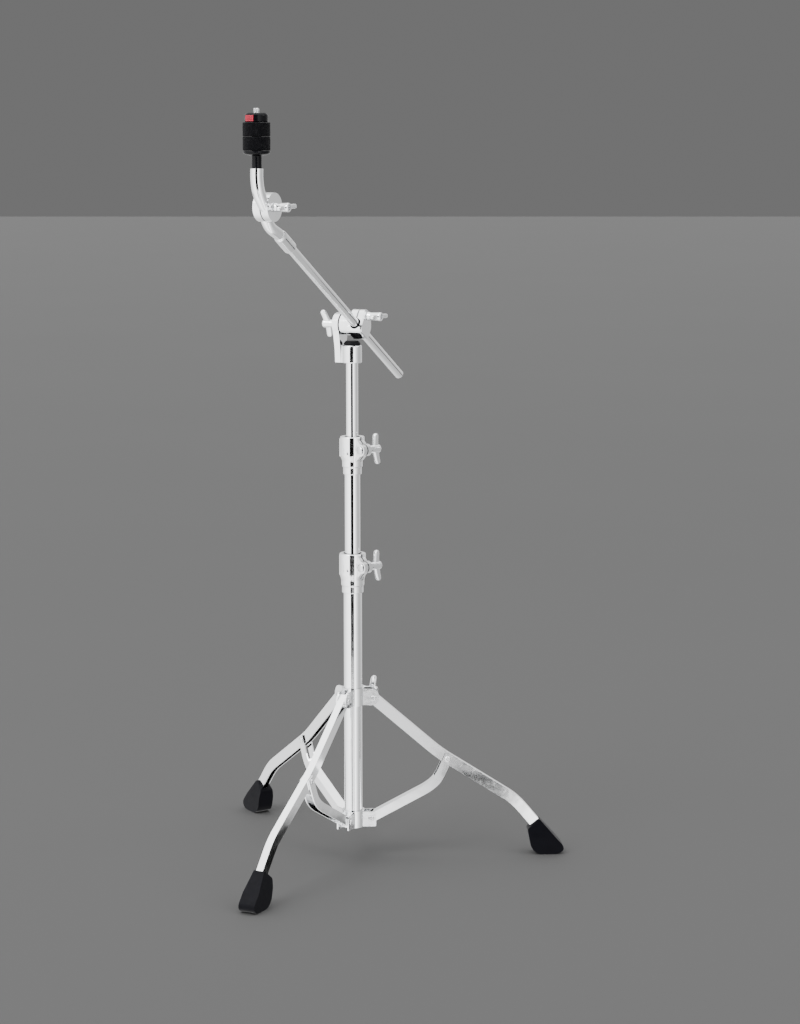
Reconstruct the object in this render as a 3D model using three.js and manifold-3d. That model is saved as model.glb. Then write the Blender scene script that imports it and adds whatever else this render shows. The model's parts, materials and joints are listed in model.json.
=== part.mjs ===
// Chrome boom stand for a cymbal: tripod base, two telescoping stages, boom, tilter and cymbal seat.
// Units are millimetres, +Z is up. Legs fold against the base tube, tubes slide, boom and tilter hinge.
import * as THREE from 'three';
import { mergeVertices } from 'three/addons/utils/BufferGeometryUtils.js';
import Module from 'manifold-3d';

const wasm = await Module();
wasm.setup();

// ---- driving dimensions -------------------------------------------------------------------------
const GAP = 0.3;                    // clearance between touching pieces
const ROUND = 24;                   // facets round a large cylinder
const SMALL_ROUND = 12;             // facets round a pin, a bolt or a bolt hole

const LEG_AZIMUTHS = [3, 123, 243]; // degrees from +X
const BOOM_AZIMUTH = 242;           // the boom leans out over the third leg

const BASE_TUBE = { r: 12.7, wall: 1.4, z0: 47, z1: 420 };
const MIDDLE_TUBE = { r: 10.7, wall: 1.2, z0: 178, z1: 586 };
const UPPER_TUBE = { r: 8.3, wall: 1.2, z0: 320, z1: 729 };

const LOWER_COLLAR = { z0: 44, height: 24, lugReach: 32, lugGap: 14.8, lugWall: 2 };
const LEG_COLLAR = { z0: 221, height: 25, lugReach: 37, lugGap: 10.7, lugWall: 2.4 };
const COLLAR_WALL = 3;

const LEG_PIVOT = { r: 28, z: 231 };
const STAY_PIVOT = { r: 25, z: 56 };
const STAY_TO_LEG = { r: 134, z: 141.3 };
const LEG = { depth: 15, width: 10, wall: 1.6 };
const LEG_LINE = [[28, 231], [122.5, 149], [231, 80], [262, 43]];
const STAY = { depth: 12.6, width: 14.2, wall: 1.8, forkLength: 30 };
const STAY_LINE = [[25, 56], [108, 100], [121, 112], [134, 141.3]];
const PIN_R = 2.5;
const PIN_HEAD_R = 4.2;

const FOOT_WIDTH = 24.5;
const FOOT_OUTLINE = [
  [249, 37], [266, 51.5], [300, 13], [301.5, 7], [296, 1.6], [288, 0],
  [268, 0], [259, 4], [254, 12], [251.5, 24],
];

const LOWER_CLAMP = { z0: 383, height: 56, bore: 13, sleeveR: 15, shoulderR: 16.2, headR: 18.4 };
const UPPER_CLAMP = { z0: 551, height: 53, bore: 11, sleeveR: 12.9, shoulderR: 14.2, headR: 17 };
const CLAMP = { sleeveTop: 10, shoulderTop: 19, coneTop: 26, boltBelowTop: 17.5 };
const CLAMP_EAR = { r: 8.4, half: 7.5, out: 6, azimuth: -45 };
const SLOT = 2;                     // the saw cut that lets a clamp close

const BOLT_R = 3;
const WING = { hubR: 6.2, hubLength: 21.6, span: 21.5, thick: 6, lobeAt: 15.2, socketR: 3.1 };

const HINGE_Z = 760;
const BRACKET = { collarR: 13.6, z0: 707, height: 24, earFace: -14, earThick: 9, earR: 16 };
const BOOM_ANGLE = 32.3;            // degrees above the horizontal
const ROD = { r: 6.2, from: -138, to: 246, side: 14, drop: -6 };
const HOLDER = { discR: 15, blockFrom: 3.5, blockTo: 24.5, sleeveR: 7.8 };
const ROD_BOLT = { x: 6, z: 10.5 };

const TILTER = { x: 298, z: 9, discR: 18.6, washerR: 15 };
const SEAT = { x: 24.5, armTop: 49, armR: 8.2, postR: 4, cupZ: 68, cupR: 17.4, sleeveR: 5.9 };
const FELT = { r: 17.6, height: 17.4 };
const NUT = { r: 15, height: 11.5, buttonAzimuth: -7 };

// ---- materials ----------------------------------------------------------------------------------
const chrome = new THREE.MeshStandardMaterial({ color: 0xd9dcdf, roughness: 0.08, metalness: 1 });
const castChrome = new THREE.MeshStandardMaterial({ color: 0xcfd2d4, roughness: 0.16, metalness: 1 });
const steel = new THREE.MeshStandardMaterial({ color: 0xb4b7ba, roughness: 0.3, metalness: 1 });
const nylon = new THREE.MeshStandardMaterial({ color: 0x1b1b1d, roughness: 0.6, metalness: 0 });
const rubber = new THREE.MeshStandardMaterial({ color: 0x131318, roughness: 0.55, metalness: 0 });
const felt = new THREE.MeshStandardMaterial({ color: 0x19191a, roughness: 0.95, metalness: 0 });
const plastic = new THREE.MeshStandardMaterial({ color: 0x101012, roughness: 0.35, metalness: 0 });
const redPlastic = new THREE.MeshStandardMaterial({ color: 0xb3121c, roughness: 0.35, metalness: 0 });

// ---- solids -------------------------------------------------------------------------------------
const radians = THREE.MathUtils.degToRad;

function toSolid(geometry) {
  const bare = geometry.clone();
  for (const name of Object.keys(bare.attributes)) {
    if (name !== 'position') bare.deleteAttribute(name);
  }
  const merged = mergeVertices(bare, 1e-4);
  const vertProperties = new Float32Array(merged.attributes.position.array);
  const triVerts = new Uint32Array(merged.index.array);
  return new wasm.Manifold(new wasm.Mesh({ numProp: 3, vertProperties, triVerts }));
}

function toGeometry(solid) {
  const mesh = solid.getMesh();
  const geometry = new THREE.BufferGeometry();
  geometry.setAttribute('position', new THREE.BufferAttribute(new Float32Array(mesh.vertProperties), 3));
  geometry.setIndex(new THREE.BufferAttribute(new Uint32Array(mesh.triVerts), 1));
  return geometry;
}

const join = (...solids) => solids.reduce((whole, next) => whole.add(next));
const cut = (solid, ...tools) => tools.reduce((whole, next) => whole.subtract(next), solid);

// A solid of revolution about Z from [radius, z] points given from the bottom up, closed on the axis.
function turned(points, facets = ROUND) {
  const profile = [[0, points[0][1]], ...points, [0, points.at(-1)[1]]];
  const geometry = new THREE.LatheGeometry(profile.map(([r, z]) => new THREE.Vector2(r, z)), facets);
  geometry.rotateX(Math.PI / 2);
  return toSolid(geometry);
}

// A round bar from z0 to z1 along Z.
const bar = (r, z0, z1, facets = SMALL_ROUND) => turned([[r, z0], [r, z1]], facets);

// A round bar along Y from y0 to y1, through (x, z).
function crossBar(r, y0, y1, x = 0, z = 0, facets = SMALL_ROUND) {
  return bar(r, -y1, -y0, facets).rotate([90, 0, 0]).translate([x, 0, z]);
}

function block(x0, x1, y0, y1, z0, z1) {
  const geometry = new THREE.BoxGeometry(x1 - x0, y1 - y0, z1 - z0);
  geometry.translate((x0 + x1) / 2, (y0 + y1) / 2, (z0 + z1) / 2);
  return toSolid(geometry);
}

// An outline in X and Z, extruded along Y from y0 to y1.
function slab(points, y0, y1) {
  const shape = new THREE.Shape(points.map(([x, z]) => new THREE.Vector2(x, z)));
  const geometry = new THREE.ExtrudeGeometry(shape, { depth: y1 - y0, bevelEnabled: false });
  geometry.rotateX(Math.PI / 2);
  geometry.translate(0, y1, 0);
  return toSolid(geometry);
}

// The two edges of a band along a line of [x, z] points, `up` above it and `down` below it.
function bandOutline(line, up, down) {
  const normals = line.map((_, i) => {
    const a = line[Math.max(i - 1, 0)];
    const b = line[i];
    const c = line[Math.min(i + 1, line.length - 1)];
    const before = new THREE.Vector2(b[0] - a[0], b[1] - a[1]).normalize();
    const after = new THREE.Vector2(c[0] - b[0], c[1] - b[1]).normalize();
    const mean = before.clone().add(after).normalize();
    const stretch = 1 / Math.max(0.5, mean.dot(before.lengthSq() > 0 ? before : after));
    return [-mean.y * stretch, mean.x * stretch];
  });
  const edge = (offset) => line.map(([x, z], i) => [x + normals[i][0] * offset, z + normals[i][1] * offset]);
  return [...edge(-down), ...edge(up).reverse()];
}

// A line with each inner corner replaced by a short arc of points.
function rounded(line, reach, steps = 4) {
  const out = [line[0]];
  for (let i = 1; i < line.length - 1; i += 1) {
    const [a, b, c] = [line[i - 1], line[i], line[i + 1]].map(([x, z]) => new THREE.Vector2(x, z));
    const start = b.clone().add(a.clone().sub(b).setLength(Math.min(reach, a.distanceTo(b) / 2.2)));
    const end = b.clone().add(c.clone().sub(b).setLength(Math.min(reach, c.distanceTo(b) / 2.2)));
    const curve = new THREE.QuadraticBezierCurve(start, b, end);
    for (const p of curve.getPoints(steps)) out.push([p.x, p.y]);
  }
  out.push(line.at(-1));
  return out;
}

// ---- scene graph --------------------------------------------------------------------------------
const group = new THREE.Group();

function add(parent, name, solid, material) {
  const mesh = new THREE.Mesh(toGeometry(solid), material);
  mesh.name = name;
  parent.add(mesh);
  return mesh;
}

function subgroup(parent, position, azimuth = 0) {
  const child = new THREE.Group();
  child.position.set(...position);
  child.rotation.z = radians(azimuth);
  parent.add(child);
  return child;
}

// ---- tubes --------------------------------------------------------------------------------------
const tube = ({ r, wall, z0, z1 }) => cut(bar(r, z0, z1, ROUND), bar(r - wall, z0 - 1, z1 + 1, ROUND));

add(group, 'base_tube', tube(BASE_TUBE), chrome);
add(group, 'middle_tube', tube(MIDDLE_TUBE), chrome);
add(group, 'upper_tube', tube(UPPER_TUBE), chrome);

const plugInner = BASE_TUBE.r - BASE_TUBE.wall - GAP;
const basePlug = turned([
  [BASE_TUBE.r - 0.8, BASE_TUBE.z0 - 3], [BASE_TUBE.r, BASE_TUBE.z0 - 2], [BASE_TUBE.r, BASE_TUBE.z0 - GAP],
  [plugInner, BASE_TUBE.z0 - GAP], [plugInner, BASE_TUBE.z0 + 12],
]);
add(group, 'base_tube_plug', basePlug, nylon);

// ---- wing nut and its bolt, both along +Y, the nut's foot at y = 0 --------------------------------
function wingNut() {
  const hub = turned([
    [WING.hubR - 0.8, 0], [WING.hubR, 0.8], [WING.hubR, WING.hubLength - 1], [WING.hubR - 1, WING.hubLength],
  ], 16).rotate([-90, 0, 0]);
  const half = WING.span;
  const lobe = [
    [0, -5.4], [half - 10, -3.8], [half - 3.5, -2.4], [half - 0.8, -0.6], [half, 1.8],
    [half - 0.8, 4.2], [half - 3.2, 5.6], [half - 11, 4.6], [0, 3.6],
  ];
  const outline = [...lobe, ...lobe.slice(1, -1).reverse().map(([x, y]) => [-x, y])];
  const wings = slab(outline, -WING.thick / 2, WING.thick / 2)
    .rotate([-90, 0, 0]).mirror([0, 1, 0]).translate([0, WING.lobeAt, 0]);
  const bore = crossBar(BOLT_R + GAP, -1, WING.hubLength - 7);
  const socket = crossBar(WING.socketR, WING.hubLength - 7.5, WING.hubLength + 1);
  return cut(join(hub, wings), bore, socket);
}

// A round-headed bolt along +Y: the head ends at y = 0 and the shank at y = length.
function clampBolt(length, headR = 5.6, headHeight = 2) {
  const head = [[headR - 1.2, -headHeight], [headR, -headHeight + 1], [headR, 0]];
  const profile = [...head, [BOLT_R, 0], [BOLT_R, length]];
  return turned(profile, SMALL_ROUND).rotate([-90, 0, 0]);
}

// ---- height clamps ------------------------------------------------------------------------------
function heightClamp(size) {
  const body = turned([
    [size.sleeveR - 0.5, 0], [size.sleeveR, 0.5], [size.sleeveR, CLAMP.sleeveTop],
    [size.shoulderR, CLAMP.sleeveTop + 0.8], [size.shoulderR, CLAMP.shoulderTop],
    [size.headR, CLAMP.coneTop], [size.headR, size.height - 1], [size.headR - 1, size.height],
  ]);
  const boltZ = size.height - CLAMP.boltBelowTop;
  const boltX = size.headR + CLAMP_EAR.out;
  const ears = crossBar(CLAMP_EAR.r, -CLAMP_EAR.half, CLAMP_EAR.half, boltX, boltZ, 16);
  const bridgeHalf = CLAMP_EAR.half - 1.2;
  const bridge = block(size.bore + 1, boltX, -bridgeHalf, bridgeHalf, boltZ - 12, boltZ + 11.5);
  const pad = block(-size.headR - 1.6, -size.bore - 1, -5, 5, boltZ - 6, boltZ + 8);
  const rib = block(-size.headR - 0.4, -size.bore - 1, -8, 8, CLAMP.coneTop - 2, size.height - 4);
  return cut(
    join(body, ears, bridge, pad, rib),
    bar(size.bore, -1, size.height + 1, ROUND),
    block(0, size.headR + 20, -SLOT / 2, SLOT / 2, CLAMP.coneTop - 4, size.height + 1),
    crossBar(BOLT_R + GAP, -20, 20, boltX, boltZ),
  );
}

function bushing(size, tubeR) {
  const top = size.height - 1;
  return cut(bar(size.bore - GAP, CLAMP.coneTop + 12, top, ROUND), bar(tubeR + GAP, 0, top + 1, ROUND));
}

function addClamp(stage, size, tubeR) {
  const base = subgroup(group, [0, 0, size.z0], CLAMP_EAR.azimuth);
  add(base, `${stage}_clamp`, heightClamp(size), castChrome);
  add(base, `${stage}_bushing`, bushing(size, tubeR), nylon);
  const boltLine = subgroup(base, [size.headR + CLAMP_EAR.out, 0, size.height - CLAMP.boltBelowTop]);
  const boltStart = -CLAMP_EAR.half - GAP;
  const bolt = clampBolt(CLAMP_EAR.half * 2 + WING.hubLength - 4).translate([0, boltStart, 0]);
  add(boltLine, `${stage}_clamp_bolt`, bolt, steel);
  const nut = wingNut().rotate([0, 84, 0]).translate([0, CLAMP_EAR.half + GAP, 0]);
  add(boltLine, `${stage}_wing_nut`, nut, castChrome);
}

addClamp('lower', LOWER_CLAMP, MIDDLE_TUBE.r);
addClamp('upper', UPPER_CLAMP, UPPER_TUBE.r);

// ---- leg collar and lower collar ------------------------------------------------------------------
// A ring with three pairs of lugs; `tip` is the lug's outline in X and Z, before it is turned to a leg.
function luggedRing({ height, lugGap, lugWall }, tip, pivotR, pivotZ) {
  const bore = BASE_TUBE.r + GAP;
  const half = lugGap / 2 + lugWall;
  const lugs = LEG_AZIMUTHS.map((azimuth) => {
    const pair = cut(
      slab(tip, -half, half),
      block(bore + COLLAR_WALL - 0.6, 60, -lugGap / 2, lugGap / 2, -height, 2 * height),
      crossBar(PIN_R + GAP, -half - 1, half + 1, pivotR, pivotZ),
    );
    return pair.rotate([0, 0, azimuth]);
  });
  const ring = bar(bore + COLLAR_WALL, 0, height, ROUND);
  return cut(join(ring, ...lugs), bar(bore, -1, height + 1, ROUND));
}

const legCollarPivotZ = LEG_PIVOT.z - LEG_COLLAR.z0;
const legLug = [
  [BASE_TUBE.r, 1], [LEG_PIVOT.r - 2, 0], [LEG_PIVOT.r + 5, 2.2], [LEG_COLLAR.lugReach - 0.8, 7],
  [LEG_COLLAR.lugReach, 12], [LEG_COLLAR.lugReach - 2.4, 18.6], [LEG_PIVOT.r + 2, 23.4], [BASE_TUBE.r, 24],
];
const CLAMP_AZIMUTH = 74;           // the leg collar is split between two legs
const COLLAR_EAR = { x: 25.5, half: 6, r: 7, z: 16.5 };
const legCollar = (() => {
  const ring = luggedRing(LEG_COLLAR, legLug, LEG_PIVOT.r, legCollarPivotZ);
  const ear = join(
    crossBar(COLLAR_EAR.r, -COLLAR_EAR.half, COLLAR_EAR.half, COLLAR_EAR.x, COLLAR_EAR.z, 16),
    block(BASE_TUBE.r + 1, COLLAR_EAR.x, -COLLAR_EAR.half, COLLAR_EAR.half, 2, LEG_COLLAR.height - 1.5),
  );
  const slot = block(0, 40, -SLOT / 2, SLOT / 2, -1, LEG_COLLAR.height + 1);
  const hole = crossBar(BOLT_R + GAP, -20, 20, COLLAR_EAR.x, COLLAR_EAR.z);
  const tools = [slot, hole].map((tool) => tool.rotate([0, 0, CLAMP_AZIMUTH]));
  return cut(join(ring, ear.rotate([0, 0, CLAMP_AZIMUTH])), bar(BASE_TUBE.r + GAP, -1, 40, ROUND), ...tools);
})();
add(subgroup(group, [0, 0, LEG_COLLAR.z0]), 'leg_collar', legCollar, castChrome);

const collarBoltLine = subgroup(group, [0, 0, LEG_COLLAR.z0 + COLLAR_EAR.z], CLAMP_AZIMUTH + 180);
const collarBolt = clampBolt(COLLAR_EAR.half * 2 + WING.hubLength - 4, 5.2)
  .translate([-COLLAR_EAR.x, -COLLAR_EAR.half - GAP, 0]);
add(collarBoltLine, 'leg_collar_bolt', collarBolt, steel);
const collarNut = wingNut().rotate([0, 90, 0]).translate([-COLLAR_EAR.x, COLLAR_EAR.half + GAP, 0]);
add(collarBoltLine, 'leg_collar_wing_nut', collarNut, castChrome);

const lowerPivotZ = STAY_PIVOT.z - LOWER_COLLAR.z0;
const lowerLug = [
  [BASE_TUBE.r, 0.6], [LOWER_COLLAR.lugReach, 0.6], [LOWER_COLLAR.lugReach, 20],
  [LOWER_COLLAR.lugReach - 2, 22], [BASE_TUBE.r, 22],
];
const lowerCollar = luggedRing(LOWER_COLLAR, lowerLug, STAY_PIVOT.r, lowerPivotZ);
add(subgroup(group, [0, 0, LOWER_COLLAR.z0]), 'lower_collar', lowerCollar, castChrome);

// ---- legs, stays, feet ----------------------------------------------------------------------------
function channel(line, depth, width, wall) {
  const shell = slab(bandOutline(line, depth / 2, depth / 2), -width / 2, width / 2);
  const hollow = slab(bandOutline(line, depth / 2 - wall, depth), -width / 2 + wall, width / 2 - wall);
  return cut(shell, hollow);
}

// Extends a line past its first point, so that the metal reaches round its pivot.
function extended(line, reach) {
  const [a, b] = line.map(([x, z]) => new THREE.Vector2(x, z));
  const start = a.clone().sub(b.clone().sub(a).setLength(reach));
  return [[start.x, start.y], ...line.slice(1)];
}

function pin(width, headHeight = 1.4) {
  const half = width / 2;
  return turned([
    [PIN_HEAD_R - 1, -half - headHeight], [PIN_HEAD_R, -half], [PIN_R, -half],
    [PIN_R, half], [PIN_HEAD_R, half], [PIN_HEAD_R - 1, half + headHeight],
  ], SMALL_ROUND).rotate([90, 0, 0]);
}

function leg() {
  const line = extended(rounded(LEG_LINE, 16), 6.5);
  const body = channel(line, LEG.depth, LEG.width, LEG.wall);
  const pivotHole = crossBar(PIN_R + GAP, -20, 20, LEG_PIVOT.r, LEG_PIVOT.z);
  return cut(body, pivotHole);
}

function stay() {
  const line = extended(rounded(STAY_LINE, 12), 5.5);
  const [a, b] = STAY_LINE.slice(-2).map(([x, z]) => new THREE.Vector2(x, z));
  const past = b.clone().add(b.clone().sub(a).setLength(6));
  line[line.length - 1] = [past.x, past.y];
  const body = channel(line, STAY.depth, STAY.width, STAY.wall);
  const angle = THREE.MathUtils.radToDeg(Math.atan2(b.y - a.y, b.x - a.x));
  const forkSpace = block(-STAY.forkLength, 20, -LEG.width / 2 - GAP, LEG.width / 2 + GAP, -20, 20)
    .rotate([0, -angle, 0]).translate([STAY_TO_LEG.r, 0, STAY_TO_LEG.z]);
  const pivotHole = crossBar(PIN_R + GAP, -20, 20, STAY_PIVOT.r, STAY_PIVOT.z);
  return cut(body, forkSpace, pivotHole);
}

function foot() {
  const body = slab(FOOT_OUTLINE, -FOOT_WIDTH / 2, FOOT_WIDTH / 2);
  const [mouthX, mouthZ] = FOOT_OUTLINE[1];
  const sides = [-1, 1].map((side) => block(-60, 60, 0, 30, -60, 60)
    .rotate([10, 0, 0]).scale([1, side, 1])
    .translate([mouthX, side * (FOOT_WIDTH / 2 - 4.5), mouthZ]));
  const [deep, wide] = [LEG.depth / 2 + GAP, LEG.width / 2 + GAP];
  const socket = slab(bandOutline(rounded(LEG_LINE, 16), deep, deep), -wide, wide);
  return cut(body, ...sides, socket);
}

const legSolid = leg();
const staySolid = stay();
const footSolid = foot();
LEG_AZIMUTHS.forEach((azimuth, i) => {
  const side = subgroup(group, [0, 0, 0], azimuth);
  const n = i + 1;
  add(side, `leg_${n}`, legSolid, chrome);
  add(side, `foot_${n}`, footSolid, rubber);
  add(side, `stay_${n}`, staySolid, chrome);
  const legPin = pin(LEG_COLLAR.lugGap + 2 * LEG_COLLAR.lugWall + 2 * GAP);
  add(side, `leg_pin_${n}`, legPin.translate([LEG_PIVOT.r, 0, LEG_PIVOT.z]), steel);
  const stayPin = pin(LOWER_COLLAR.lugGap + 2 * LOWER_COLLAR.lugWall + 2 * GAP);
  add(side, `stay_pin_${n}`, stayPin.translate([STAY_PIVOT.r, 0, STAY_PIVOT.z]), steel);
  for (const [word, sign] of [['left', 1], ['right', -1]]) {
    const rivet = turned([[PIN_HEAD_R, 0], [PIN_HEAD_R - 1.2, 1.7]], SMALL_ROUND)
      .rotate([-90 * sign, 0, 0])
      .translate([STAY_TO_LEG.r, sign * (STAY.width / 2 + GAP), STAY_TO_LEG.z]);
    add(side, `stay_rivet_${n}_${word}`, rivet, steel);
  }
});

// ---- boom bracket, on top of the upper tube -------------------------------------------------------
// From here on local X points out along the boom, Y across it and Z up, from the boom's hinge.
const arc = (x, z, r, from, to, steps) => Array.from({ length: steps + 1 }, (_, i) => {
  const angle = radians(from + ((to - from) * i) / steps);
  return [x + r * Math.cos(angle), z + r * Math.sin(angle)];
});
const lengthwise = (solid) => solid.rotate([0, 90, 0]);   // turns a bar along Z to lie along X

const boomBase = subgroup(group, [0, 0, HINGE_Z], BOOM_AZIMUTH);
const bracketZ0 = BRACKET.z0 - HINGE_Z;
const bracketTop = bracketZ0 + BRACKET.height;
const earBack = BRACKET.earFace - BRACKET.earThick;

const bracket = (() => {
  const collar = turned([
    [BRACKET.collarR - 0.6, bracketZ0], [BRACKET.collarR, bracketZ0 + 0.6],
    [BRACKET.collarR, bracketTop - 1], [BRACKET.collarR - 1, bracketTop],
  ]);
  const round = arc(0, 0, BRACKET.earR, -35, 215, 26);
  const outline = [...round, [-8, -34], [-7, bracketZ0], [7, bracketZ0], [8, -34]];
  const ear = slab(outline, earBack, BRACKET.earFace);
  const bridge = block(-6.6, 6.6, BRACKET.earFace - 1, -6, bracketZ0, bracketTop - 0.6);
  const bore = bar(UPPER_TUBE.r + GAP, bracketZ0 - 1, bracketTop + 1, ROUND);
  return cut(join(collar, ear, bridge), bore, crossBar(BOLT_R + GAP, -40, 0));
})();
add(boomBase, 'boom_bracket', bracket, castChrome);

const cap = turned([
  [UPPER_TUBE.r - UPPER_TUBE.wall - GAP, UPPER_TUBE.z1 - HINGE_Z - 8],
  [UPPER_TUBE.r - UPPER_TUBE.wall - GAP, bracketTop + GAP], [BRACKET.collarR - 2, bracketTop + GAP],
  [BRACKET.collarR - 2.4, bracketTop + 3.6], [BRACKET.collarR - 5, bracketTop + 6.4],
]);
add(boomBase, 'upper_tube_cap', cap, nylon);

// ---- boom holder and rod ----------------------------------------------------------------------------
const boom = subgroup(boomBase, [0, 0, 0]);
boom.rotation.y = -radians(BOOM_ANGLE);

const washer = (r, y0, y1) => cut(crossBar(r, y0, y1, 0, 0, ROUND), crossBar(BOLT_R + GAP, y0 - 1, y1 + 1));
add(boomBase, 'boom_brake_washer', washer(12.6, BRACKET.earFace + GAP, BRACKET.earFace + GAP + 1), nylon);

const discFrom = BRACKET.earFace + 1 + 2 * GAP;
const onRodLine = (solid) => lengthwise(solid).translate([0, ROD.side, ROD.drop]);
const alongRod = (r, x0, x1) => onRodLine(bar(r, x0, x1, ROUND));
const blockOutline = [
  [-10, -17.4], [10, -17.4], [14, -15], [15.4, -10], [15.4, 13], [12.6, 17.6], [8, 18.8],
  [2, 17.8], [-2, 14.4], [-9, 7.6], [-13, 1], [-13.4, -12], [-12.6, -15.6],
];
const holder = (() => {
  const disc = crossBar(HOLDER.discR, discFrom, HOLDER.blockFrom + 1, 0, 0, ROUND);
  const body = slab(blockOutline, HOLDER.blockFrom, HOLDER.blockTo - 1.4);
  const face = slab(blockOutline.map(([x, z]) => [x * 0.9, z * 0.92]), HOLDER.blockTo - 1.5, HOLDER.blockTo);
  return cut(
    join(disc, body, face),
    alongRod(HOLDER.sleeveR + GAP, -20, 22),
    block(-30, 30, ROD.side - SLOT / 2, ROD.side + SLOT / 2, ROD.drop, 30),
    crossBar(BOLT_R + GAP, -30, 1.5),
    crossBar(BOLT_R + GAP, HOLDER.blockFrom + 0.8, 30, ROD_BOLT.x, ROD_BOLT.z),
  );
})();
add(boom, 'boom_holder', holder, castChrome);

const studPast = WING.hubLength - 4;
add(boom, 'boom_hinge_stud', crossBar(BOLT_R, earBack - GAP - studPast, 1), steel);
const rodStud = crossBar(BOLT_R, HOLDER.blockFrom + 1.2, HOLDER.blockTo + studPast, ROD_BOLT.x, ROD_BOLT.z);
add(boom, 'rod_clamp_stud', rodStud, steel);
const hingeNut = wingNut().rotate([0, 28, 180]).translate([0, earBack - GAP, 0]);
add(boom, 'boom_hinge_wing_nut', hingeNut, castChrome);
const rodNut = wingNut().rotate([0, BOOM_ANGLE, 0]).translate([ROD_BOLT.x, HOLDER.blockTo + GAP, ROD_BOLT.z]);
add(boom, 'rod_clamp_wing_nut', rodNut, castChrome);

const rodSleeve = cut(alongRod(HOLDER.sleeveR, -13, 15), alongRod(ROD.r + GAP, -20, 22));
add(boom, 'rod_sleeve', rodSleeve, nylon);

const rod = onRodLine(turned([
  [ROD.r - 1, ROD.from], [ROD.r, ROD.from + 1], [ROD.r, ROD.to - 1], [ROD.r - 1, ROD.to],
]));
add(boom, 'boom_rod', rod, chrome);

// ---- tilter -----------------------------------------------------------------------------------------
// A round bar swept along points [x, y, z], its radius the same all the way.
function swept(points, r, steps = 7, facets = 14) {
  const curve = new THREE.CatmullRomCurve3(points.map((p) => new THREE.Vector3(...p)));
  const section = new THREE.Shape();
  section.absarc(0, 0, r, 0, Math.PI * 2);
  const geometry = new THREE.ExtrudeGeometry(section, { steps, extrudePath: curve, curveSegments: facets });
  return toSolid(geometry);
}

const tilterBackDisc = [ROD.side - 10.6, ROD.side - 0.4];
const tilterFrontDisc = [ROD.side + 1.2, ROD.side + 11.4];
const tilterArm = (() => {
  const socket = alongRod(8.9, ROD.to - 26, ROD.to + 6);
  const neck = swept([
    [ROD.to - 2, ROD.side, ROD.drop], [ROD.to + 10, ROD.side - 0.5, ROD.drop],
    [ROD.to + 28, ROD.side - 4, ROD.drop + 0.5], [TILTER.x - 3, ROD.side - 6.4, TILTER.z - 4],
  ], 7.6);
  const disc = crossBar(TILTER.discR, ...tilterBackDisc, TILTER.x, TILTER.z, ROUND);
  const clear = crossBar(TILTER.discR + 1.2, tilterBackDisc[1], 60, TILTER.x, TILTER.z, ROUND);
  return cut(
    join(socket, cut(neck, clear), disc),
    alongRod(ROD.r + GAP, ROD.to - 40, ROD.to + GAP),
    crossBar(BOLT_R + GAP, ROD.side - 8, 60, TILTER.x, TILTER.z),
  );
})();
add(boom, 'tilter_lower_arm', tilterArm, castChrome);
const tilterStud = crossBar(BOLT_R, ROD.side - 7.6, tilterFrontDisc[1] + studPast, TILTER.x, TILTER.z);
add(boom, 'tilter_stud', tilterStud, steel);

const tilter = subgroup(boom, [TILTER.x, 0, TILTER.z]);
tilter.rotation.y = radians(BOOM_ANGLE);
const tilterWasher = washer(TILTER.washerR, ROD.side - 0.1, ROD.side + 0.9);
add(tilter, 'tilter_brake_washer', tilterWasher, nylon);

const seatAt = (solid) => solid.translate([SEAT.x, ROD.side, 0]);
const upperArm = (() => {
  const disc = crossBar(TILTER.discR, ...tilterFrontDisc, 0, 0, ROUND);
  const neck = swept([
    [6, ROD.side + 5, -6], [15, ROD.side + 3.6, 4], [SEAT.x - 1.6, ROD.side + 1.4, 20],
    [SEAT.x, ROD.side, 36], [SEAT.x, ROD.side, SEAT.armTop],
  ], SEAT.armR);
  const clear = crossBar(TILTER.discR + 1.2, -40, tilterFrontDisc[0], 0, 0, ROUND);
  const beyond = block(-30, 40, tilterFrontDisc[1] - 0.6, 60, -40, 30);
  return cut(
    join(cut(neck, clear, beyond), disc),
    crossBar(BOLT_R + GAP, -30, 60),
    seatAt(bar(SEAT.postR + GAP, SEAT.armTop - 16, SEAT.armTop + 5, 24)),
  );
})();
add(tilter, 'tilter_upper_arm', upperArm, castChrome);
const tilterNut = wingNut().rotate([0, 4, 0]).translate([0, tilterFrontDisc[1] + GAP, 0]);
add(tilter, 'tilter_wing_nut', tilterNut, castChrome);

// ---- cymbal seat --------------------------------------------------------------------------------------
const feltZ = [SEAT.cupZ + 3.8, SEAT.cupZ + 4.1 + FELT.height];
const nutZ = feltZ[1] + FELT.height + GAP;
const postTop = nutZ + NUT.height + 6;
const post = turned([
  [SEAT.postR, SEAT.armTop - 15.5], [SEAT.postR, postTop - 1], [SEAT.postR - 1, postTop],
], 24);
add(tilter, 'cymbal_post', seatAt(post), steel);

const seatSleeve = cut(turned([
  [6.5, SEAT.armTop + GAP], [6.5, SEAT.cupZ - 3], [SEAT.cupR - 2, SEAT.cupZ - 1], [SEAT.cupR, SEAT.cupZ + 1],
  [SEAT.cupR, SEAT.cupZ + 3.5], [SEAT.sleeveR, SEAT.cupZ + 3.5], [SEAT.sleeveR, nutZ - 3],
], ROUND), bar(SEAT.postR + GAP, 0, nutZ + 5));
add(tilter, 'seat_sleeve', seatAt(seatSleeve), plastic);

const feltRing = cut(turned([
  [FELT.r - 0.8, 0], [FELT.r, 0.8], [FELT.r, FELT.height - 0.8], [FELT.r - 0.8, FELT.height],
], ROUND), bar(SEAT.sleeveR + GAP, -1, FELT.height + 1));
add(tilter, 'lower_felt', seatAt(feltRing.translate([0, 0, feltZ[0]])), felt);
add(tilter, 'upper_felt', seatAt(feltRing.translate([0, 0, feltZ[1]])), felt);

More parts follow.
